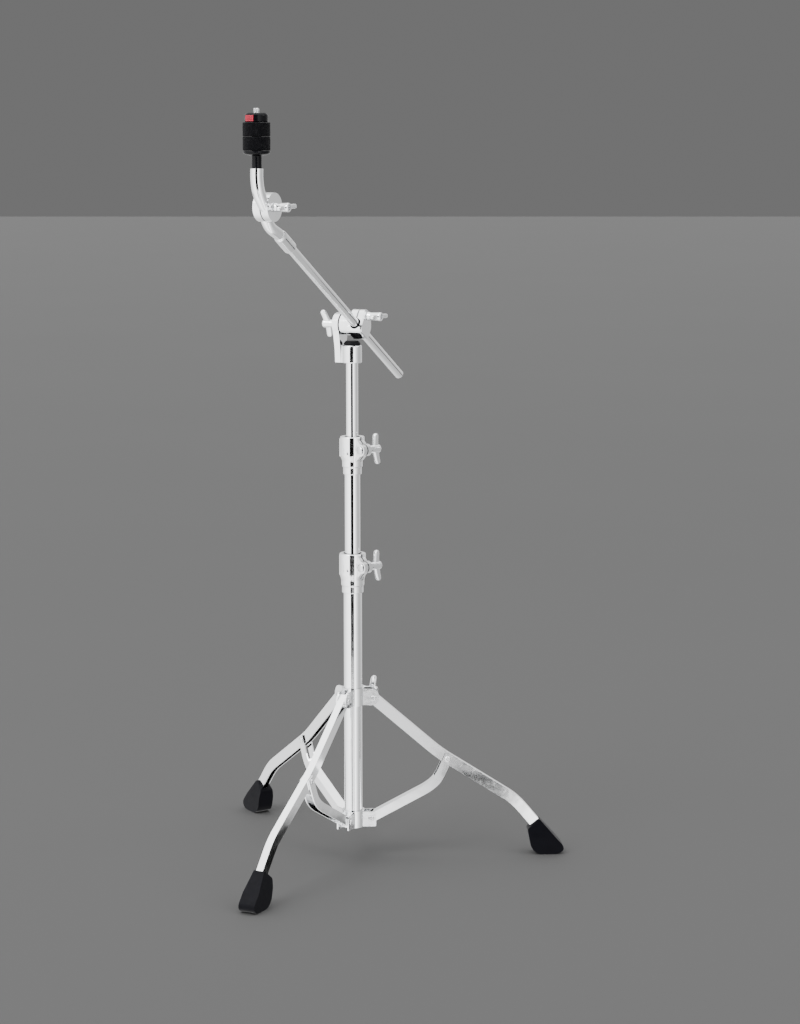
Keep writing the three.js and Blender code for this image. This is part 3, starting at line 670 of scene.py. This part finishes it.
def pin(width):
    half = width / 2
    side = eased([(0.6, -half - 1.4), (PIN_HEAD_R - 0.9, -half - 1.4), (PIN_HEAD_R, -half)], 0.8)
    hollow_end = [(1.6, -half - 0.2), (1.9, -half - 1.4)]
    profile = [(0.1, -half - 0.2), *hollow_end, *side[2:], (PIN_R, -half)]
    return turned(profile + [(r, -y) for r, y in reversed(profile)], SMALL).turn("X", 90)


def rivet_head():
    return turned(eased([
        (PIN_HEAD_R, 0), (PIN_HEAD_R - 0.2, 0.9), (PIN_HEAD_R - 1.3, 1.7), (1.9, 1.7), (1.6, 0.9), (0.1, 0.9),
    ], 0.5), SMALL)


LEG_SOLID, STAY_SOLID, FOOT_SOLID = leg(), stay(), foot()
LEG_PIN = pin(LEG_COLLAR["gap"] + 2 * LEG_COLLAR["wall"] + 2 * GAP)
STAY_PIN = pin(LOWER_COLLAR["gap"] + 2 * LOWER_COLLAR["wall"] + 2 * GAP)
RIVET = rivet_head()
for number, azimuth in enumerate(LEG_AZIMUTHS, 1):
    side = STAND @ turn_matrix("Z", azimuth)
    place(f"leg_{number}", LEG_SOLID, side, edge=1.3, segments=4)
    place(f"stay_{number}", STAY_SOLID, side, edge=1.2, segments=4)
    place(f"foot_{number}", FOOT_SOLID, side, edge=2.6, segments=5)
    place(f"leg_pin_{number}", LEG_PIN, side @ at(LEG_PIVOT[0], 0, LEG_PIVOT[1]), edge=0)
    place(f"stay_pin_{number}", STAY_PIN, side @ at(STAY_PIVOT[0], 0, STAY_PIVOT[1]), edge=0)
    for word, sign in (("left", 1), ("right", -1)):
        spot = side @ at(STAY_TO_LEG[0], sign * (STAY["width"] / 2 + GAP), STAY_TO_LEG[1])
        place(f"stay_rivet_{number}_{word}", RIVET, spot @ turn_matrix("X", -90 * sign), edge=0)


# ---- boom bracket, holder and rod -----------------------------------------------------------------
def bracket():
    z0 = BRACKET["z0"] - HINGE_Z
    top = z0 + BRACKET["height"]
    face, back = BRACKET["face"], BRACKET["face"] - BRACKET["thick"]
    collar = turned(eased([
        (BRACKET["r"] - 0.7, z0), (BRACKET["r"], z0 + 0.7), (BRACKET["r"], top - 1), (BRACKET["r"] - 1, top),
    ], 0.8), 96)
    outline = [*arc(0, 0, BRACKET["ear"], -35, 215, 60), *eased([(-13.1, -9.2), (-8, -34), (-7, z0)], 6)[1:],
               *eased([(7, z0), (8, -34), (13.1, -9.2)], 6)[:-1]]
    ear = slab(outline, back, face)
    bridge = block(-6.6, 6.6, face - 1, -6, z0, top - 0.6)
    bore = bar(UPPER_TUBE["r"] + GAP, z0 - 1, top + 1, ROUND)
    return collar.join(ear, bridge).cut(bore, cross_bar(BOLT_R + GAP, -40, 0))


def washer(r, y0, y1):
    ring = hollow([(BOLT_R + GAP, -y1), (r, -y1), (r, -y0), (BOLT_R + GAP, -y0)], ROUND)
    return ring.turn("X", 90)


def along_rod(r, x0, x1, facets=64):
    return bar(r, x0, x1, facets).turn("Y", 90).shift(0, ROD["side"], ROD["drop"])


def holder():
    outline = eased_loop([
        (-10, -17.4), (10, -17.4), (14, -15), (15.4, -10), (15.4, 13), (12.6, 17.6), (8, 18.8), (2, 17.8),
        (-2, 14.4), (-9, 7.6), (-13, 1), (-13.4, -12), (-12.6, -15.6),
    ], 3, 4)
    start, face = HOLDER["block"], HOLDER["face"]
    disc = cross_bar(HOLDER["disc"], BRACKET["face"] + 1 + 2 * GAP, start + 1, 0, 0, 96)
    body = slab(outline, start, face - 1.4)
    front = slab([(x * 0.9, z * 0.92) for x, z in outline], face - 1.5, face)
    side = ROD["side"]
    return disc.join(body, front).cut(
        along_rod(HOLDER["sleeve"] + GAP, -20, 22),
        block(-30, 30, side - SLOT / 2, side + SLOT / 2, ROD["drop"], 30),
        cross_bar(BOLT_R + GAP, -30, 1.5),
        cross_bar(BOLT_R + GAP, start + 0.8, 30, *ROD_BOLT),
    )


place("boom_bracket", bracket(), BOOM_BASE, edge=0.8)
bracket_top = BRACKET["z0"] - HINGE_Z + BRACKET["height"]
plug_r = UPPER_TUBE["r"] - UPPER_TUBE["wall"] - GAP
cap_plug = [(plug_r, UPPER_TUBE["z1"] - HINGE_Z - 8), (plug_r, bracket_top + GAP)]
cap_dome = eased([
    (BRACKET["r"] - 2, bracket_top + GAP),
    (BRACKET["r"] - 2.2, bracket_top + 3.4),
    (BRACKET["r"] - 5, bracket_top + 6.3),
], 1.2)
cap = turned(cap_plug + cap_dome, 72)
place("upper_tube_cap", cap, BOOM_BASE, edge=0.3)
place("boom_brake_washer", washer(12.6, BRACKET["face"] + GAP, BRACKET["face"] + GAP + 1), BOOM_BASE, edge=0.2)
place("boom_holder", holder(), BOOM, edge=0.7)
ear_back = BRACKET["face"] - BRACKET["thick"]
place("boom_hinge_stud", cross_bar(BOLT_R, ear_back - GAP - STUD_PAST, 1), BOOM, edge=0.5)
rod_stud = cross_bar(BOLT_R, HOLDER["block"] + 1.2, HOLDER["face"] + STUD_PAST, *ROD_BOLT)
place("rod_clamp_stud", rod_stud, BOOM, edge=0.5)
place("boom_hinge_wing_nut", WING_NUT, BOOM @ at(y=ear_back - GAP) @ turn_matrix("Z", 180) @ turn_matrix("Y", 28),
      edge=0.5)
place("rod_clamp_wing_nut", WING_NUT,
      BOOM @ at(ROD_BOLT[0], HOLDER["face"] + GAP, ROD_BOLT[1]) @ turn_matrix("Y", BOOM_ANGLE), edge=0.5)

sleeve_inner, sleeve_outer = ROD["r"] + GAP, HOLDER["sleeve"]
sleeve = hollow([(sleeve_inner, -13), (sleeve_outer, -13), (sleeve_outer, 15), (sleeve_inner, 15)], 64)
place("rod_sleeve", sleeve.turn("Y", 90).shift(0, ROD["side"], ROD["drop"]), BOOM, edge=0.3)
rod = turned(eased([
    (0.5, ROD["start"]), (ROD["r"], ROD["start"]), (ROD["r"], ROD["end"]), (0.5, ROD["end"]),
], 1), 96)
place("boom_rod", rod.turn("Y", 90).shift(0, ROD["side"], ROD["drop"]), BOOM, edge=0)


# ---- tilter ---------------------------------------------------------------------------------------
def lower_arm():
    end, side, drop = ROD["end"], ROD["side"], ROD["drop"]
    socket = turned(eased([(8.0, end - 26), (8.9, end - 25), (8.9, end + 4), (7.6, end + 8)], 1.2), 64)
    neck = swept([
        (end - 2, side, drop), (end + 10, side - 0.5, drop), (end + 28, side - 4, drop + 0.5),
        (TILTER["x"] - 3, side - 6.4, TILTER["z"] - 4),
    ], 7.6)
    disc = cross_bar(TILTER["disc"], *BACK_DISC, TILTER["x"], TILTER["z"], 96)
    clear = cross_bar(TILTER["disc"] + 1.2, BACK_DISC[1], 60, TILTER["x"], TILTER["z"], 96)
    dots = [cross_bar(1.1, side + 4, side + 12, end - 12 + 19 * k, drop + 3.6) for k in (0, 1)]
    return socket.turn("Y", 90).shift(0, side, drop).join(neck.cut(clear), disc).cut(
        along_rod(ROD["r"] + GAP, end - 40, end + GAP),
        cross_bar(BOLT_R + GAP, side - 8, 60, TILTER["x"], TILTER["z"]), *dots)


def upper_arm():
    side, x = ROD["side"], SEAT["x"]
    disc = cross_bar(TILTER["disc"], *FRONT_DISC, 0, 0, 96)
    neck = swept([
        (6, side + 5, -6), (15, side + 3.6, 4), (x - 1.6, side + 1.4, 20), (x, side, 36), (x, side, SEAT["arm_top"]),
    ], SEAT["arm"])
    clear = cross_bar(TILTER["disc"] + 1.2, -40, FRONT_DISC[0], 0, 0, 96)
    beyond = block(-30, 40, FRONT_DISC[1] - 0.6, 60, -40, 30)
    dots = [cross_bar(1.1, side + 4, side + 12, x - 5.4 - 2.4 * k, 33 - 17 * k) for k in (0, 1)]
    return disc.join(neck.cut(clear, beyond)).cut(
        cross_bar(BOLT_R + GAP, -30, 60),
        bar(SEAT["post"] + GAP, SEAT["arm_top"] - 16, SEAT["arm_top"] + 5).shift(x, side, 0), *dots)


place("tilter_lower_arm", lower_arm(), BOOM, edge=0.8)
tilter_stud = cross_bar(BOLT_R, ROD["side"] - 7.6, FRONT_DISC[1] + STUD_PAST, TILTER["x"], TILTER["z"])
place("tilter_stud", tilter_stud, BOOM, edge=0.5)
place("tilter_brake_washer", washer(15, ROD["side"] - 0.1, ROD["side"] + 0.9), TILT, edge=0.2)
place("tilter_upper_arm", upper_arm(), TILT, edge=0.8)
place("tilter_wing_nut", WING_NUT, TILT @ at(y=FRONT_DISC[1] + GAP) @ turn_matrix("Y", 4), edge=0.5)


# ---- cymbal seat ------------------------------------------------------------------------------------
def post():
    """The threaded post: a plain shank, then a fine thread up to the chamfered tip."""
    pitch, depth, facets = 1.25, 0.6, 48
    start = NUT_Z - 2
    rows = int((POST_TOP - start) / pitch * 8)
    rings = [circle(SEAT["post"], SEAT["arm_top"] - 15.5, facets), circle(SEAT["post"], start - 0.2, facets)]
    for row in range(rows + 1):
        z = start + (POST_TOP - start) * row / rows
        ring = []
        for k in range(facets):
            phase = (z / pitch - k / facets) % 1
            r = SEAT["post"] - depth * (1 - abs(2 * phase - 1))
            r = min(r, SEAT["post"] - 1 + max(0, POST_TOP - z))
            angle = 2 * math.pi * k / facets
            ring.append((r * math.cos(angle), r * math.sin(angle), z))
        rings.append(ring)
    slot = block(-6, 6, -0.7, 0.7, POST_TOP - 1.8, POST_TOP + 1)
    return skin(rings).cut(slot.turn("Z", 20))


def seat_sleeve():
    cup, cup_z, arm_top, r = SEAT["cup"], SEAT["cup_z"], SEAT["arm_top"], SEAT["sleeve"]
    inner = SEAT["post"] + GAP
    outer = eased([
        (6.5, arm_top + GAP), (6.5, cup_z - 3), (cup - 2, cup_z - 1), (cup, cup_z + 1), (cup, cup_z + 3.5),
        (r, cup_z + 3.5), (r, NUT_Z - 3),
    ], 0.8)
    return hollow([*outer, (inner, NUT_Z - 3), (inner, arm_top + GAP)], 96)


def felt(seed):
    """A pressed-wool ring: soft edges and a slightly uneven, fuzzy wall."""
    inner, r, height = SEAT["sleeve"] + GAP, FELT["r"], FELT["height"]
    outline = eased([(inner, 0), (r, 0), (r, height), (inner, height)], 1.3, 5)
    wall = [(r, height * k / 24) for k in range(3, 22)]
    split = len(outline) // 2
    outline = [*outline[:split], *wall, *outline[split:]]
    facets = 240
    rings = []
    for row, (radius, z) in enumerate(outline):
        ring = []
        for k in range(facets):
            angle = 2 * math.pi * k / facets
            share = max(0, (radius - inner) / (r - inner))
            soft = (math.sin(7 * angle + seed + z * 0.5) + math.sin(23 * angle + z * 1.7 + 2 * seed)
                    + math.sin(61 * angle + z * 4.1 + row)) * 0.055
            rr = radius - share * (0.17 - soft)
            ring.append((rr * math.cos(angle), rr * math.sin(angle), z))
        rings.append(ring)
    return skin(rings, caps=False)


def quick_nut():
    r, height = NUT["r"], NUT["height"]
    body = turned(eased([
        (r - 1, NUT_Z), (r, NUT_Z + 1), (r, NUT_Z + height - 2.4), (r - 2.4, NUT_Z + height),
    ], 1.4), 128)
    pocket = block(6.6, 30, -6.3, 6.3, NUT_Z + 0.9, NUT_Z + 8.9)
    pockets = [pocket.turn("Z", NUT["azimuth"] + turn) for turn in (0, 180)]
    rim = hollow([(8.5, NUT_Z + height - 0.5), (10, NUT_Z + height - 0.5), (10, NUT_Z + height + 1),
                  (8.5, NUT_Z + height + 1)], 96)
    return body.cut(bar(SEAT["post"] + GAP, 0, NUT_Z + 40), rim, *pockets)


def release_button():
    body = block(9, 30, -6, 6, NUT_Z + 1.2, NUT_Z + 8.6).keep(bar(NUT["r"] + 0.6, NUT_Z, NUT_Z + 10, 128))
    grooves = [block(NUT["r"] - 0.5, 30, -4.6, 4.6, NUT_Z + 3 + 1.6 * k, NUT_Z + 3.7 + 1.6 * k) for k in range(3)]
    return body.cut(*grooves)


place("cymbal_post", post(), SEAT_LINE, edge=0)
place("seat_sleeve", seat_sleeve(), SEAT_LINE, edge=0)
for word, z, seed in (("lower", FELT_Z[0], 0.4), ("upper", FELT_Z[1], 2.9)):
    pad = place(f"{word}_felt", felt(seed).shift(z=z), SEAT_LINE, edge=0, smooth=60)
place("quick_nut", quick_nut(), SEAT_LINE, edge=0.35)
for word, turn in (("front", 0), ("back", 180)):
    place(f"{word}_release_button", release_button(), SEAT_LINE @ turn_matrix("Z", NUT["azimuth"] + turn), edge=0.5)


# ---- floor, light and camera ------------------------------------------------------------------------
def floor():
    size = 30
    sheet = from_faces([(-size, -size, 0), (size, -size, 0), (size, size, 0), (-size, size, 0)], [(0, 1, 2, 3)])
    ground = link("floor", sheet.mesh)
    ground.data.materials.append(material("floor", lambda nodes: {
        "Base Color": nodes.ramp(nodes.noise(0.8, 2), [(0.2, 0.034), (0.8, 0.036)]), "Roughness": 0.9}))
    ground.visible_glossy = False


def studio_world():
    """A room with a dark strip in front and dark cards low at the sides; the camera sees grey behind the stand."""
    world = bpy.data.worlds.new("studio")
    bpy.context.scene.world = world
    world.use_nodes = True
    world.node_tree.nodes.clear()
    nodes = Nodes(world.node_tree)
    split = nodes.add("ShaderNodeSeparateXYZ",
                      inputs={0: nodes.add("ShaderNodeTexCoord").outputs["Generated"]}).outputs
    back = nodes.math("MULTIPLY", split["Y"], -1)
    azimuth = nodes.math("MULTIPLY", nodes.math("ARCTAN2", split["X"], back), 180 / math.pi)
    height = nodes.math("MULTIPLY", nodes.math("ARCSINE", split["Z"]), 180 / math.pi)

    def share(degrees):
        return degrees / 360 + 0.5

    walls = nodes.ramp(nodes.math("MULTIPLY_ADD", azimuth, 1 / 360, 0.5), [
        (share(-180), 0.30), (share(-150), 0.34), (share(-110), 0.5), (share(-70), 0.8), (share(-40), 0.9),
        (share(-27), 0.97), (share(-24.5), 0.001), (share(15.5), 0.001), (share(19), 1.0), (share(30), 0.92),
        (share(50), 0.42), (share(75), 0.2), (share(100), 0.17), (share(140), 0.24), (share(180), 0.30),
    ])

    def soft_step(value, start, end):
        node = nodes.add("ShaderNodeMapRange", interpolation_type="SMOOTHSTEP",
                         inputs={"Value": value, "From Min": start, "From Max": end})
        return node.outputs["Result"]

    def card(left, right, low, high, soft):
        """1 inside a patch of the room's wall, fading to 0 outside it."""
        sides = nodes.math("MULTIPLY", soft_step(azimuth, left - soft, left), soft_step(azimuth, right + soft, right))
        ends = nodes.math("MULTIPLY", soft_step(height, low - soft, low), soft_step(height, high + soft, high))
        return nodes.math("MULTIPLY", sides, ends)

    def shade(level, amount, value):
        """level where amount is 0, value where it is 1."""
        kept = nodes.math("MULTIPLY", level, nodes.math("SUBTRACT", 1.0, amount))
        return nodes.math("MULTIPLY_ADD", amount, value, kept)

    level = nodes.add("ShaderNodeRGBToBW", inputs={0: walls}).outputs[0]
    level = shade(level, card(-24, 11, -90, -13.2, 0.9), 0.7)
    level = shade(level, card(-17, -8, -40, -13.2, 1.2), 0.008)
    level = shade(level, card(2, 7.5, -15.6, -12.5, 0.35), 0.4)
    level = shade(level, card(7.3, 8.9, -15.8, -13.2, 0.25), 0.002)
    level = shade(level, card(9.3, 13, -24, -14.2, 0.4), 1.0)
    level = shade(level, card(104, 140, -26, -16.4, 0.5), 0.002)
    level = shade(level, card(-132, -118.9, -20, -14.9, 0.5), 0.002)
    level = shade(level, soft_step(height, 38, 70), 1.05)
    seen = nodes.add("ShaderNodeLightPath").outputs["Is Camera Ray"]
    level = shade(level, seen, 0.04)
    colour = nodes.add("ShaderNodeCombineColor", inputs={0: level, 1: level, 2: level}).outputs[0]
    shader = nodes.add("ShaderNodeBackground", inputs={"Color": colour, "Strength": 4.2})
    output = nodes.add("ShaderNodeOutputWorld")
    world.node_tree.links.new(shader.outputs[0], output.inputs["Surface"])


def soft_light(name, position, target, size, power):
    data = bpy.data.lights.new(name, "AREA")
    data.shape = "DISK"
    data.size = size
    data.energy = power
    lamp = bpy.data.objects.new(name, data)
    bpy.context.scene.collection.objects.link(lamp)
    lamp.location = position
    lamp.rotation_euler = (Vector(target) - Vector(position)).to_track_quat("-Z", "Y").to_euler()


CAMERA_PLACE = (66.5, -3300, 1008)
CAMERA_DOWN = 8.8
CAMERA_FOCAL = 83.8


def photo_camera():
    data = bpy.data.cameras.new("camera")
    data.sensor_width = 36
    data.lens = CAMERA_FOCAL
    camera = bpy.data.objects.new("camera", data)
    bpy.context.scene.collection.objects.link(camera)
    camera.location = STAND @ Vector(CAMERA_PLACE)
    camera.rotation_euler = (math.radians(90 - CAMERA_DOWN), 0, 0)
    bpy.context.scene.camera = camera


floor()
studio_world()
middle = (0, 0, 0.5)
soft_light("key", (-1.9, -1.7, 2.9), middle, 1.6, 75)
soft_light("fill", (2.3, -0.6, 2.2), middle, 1.4, 28)
photo_camera()
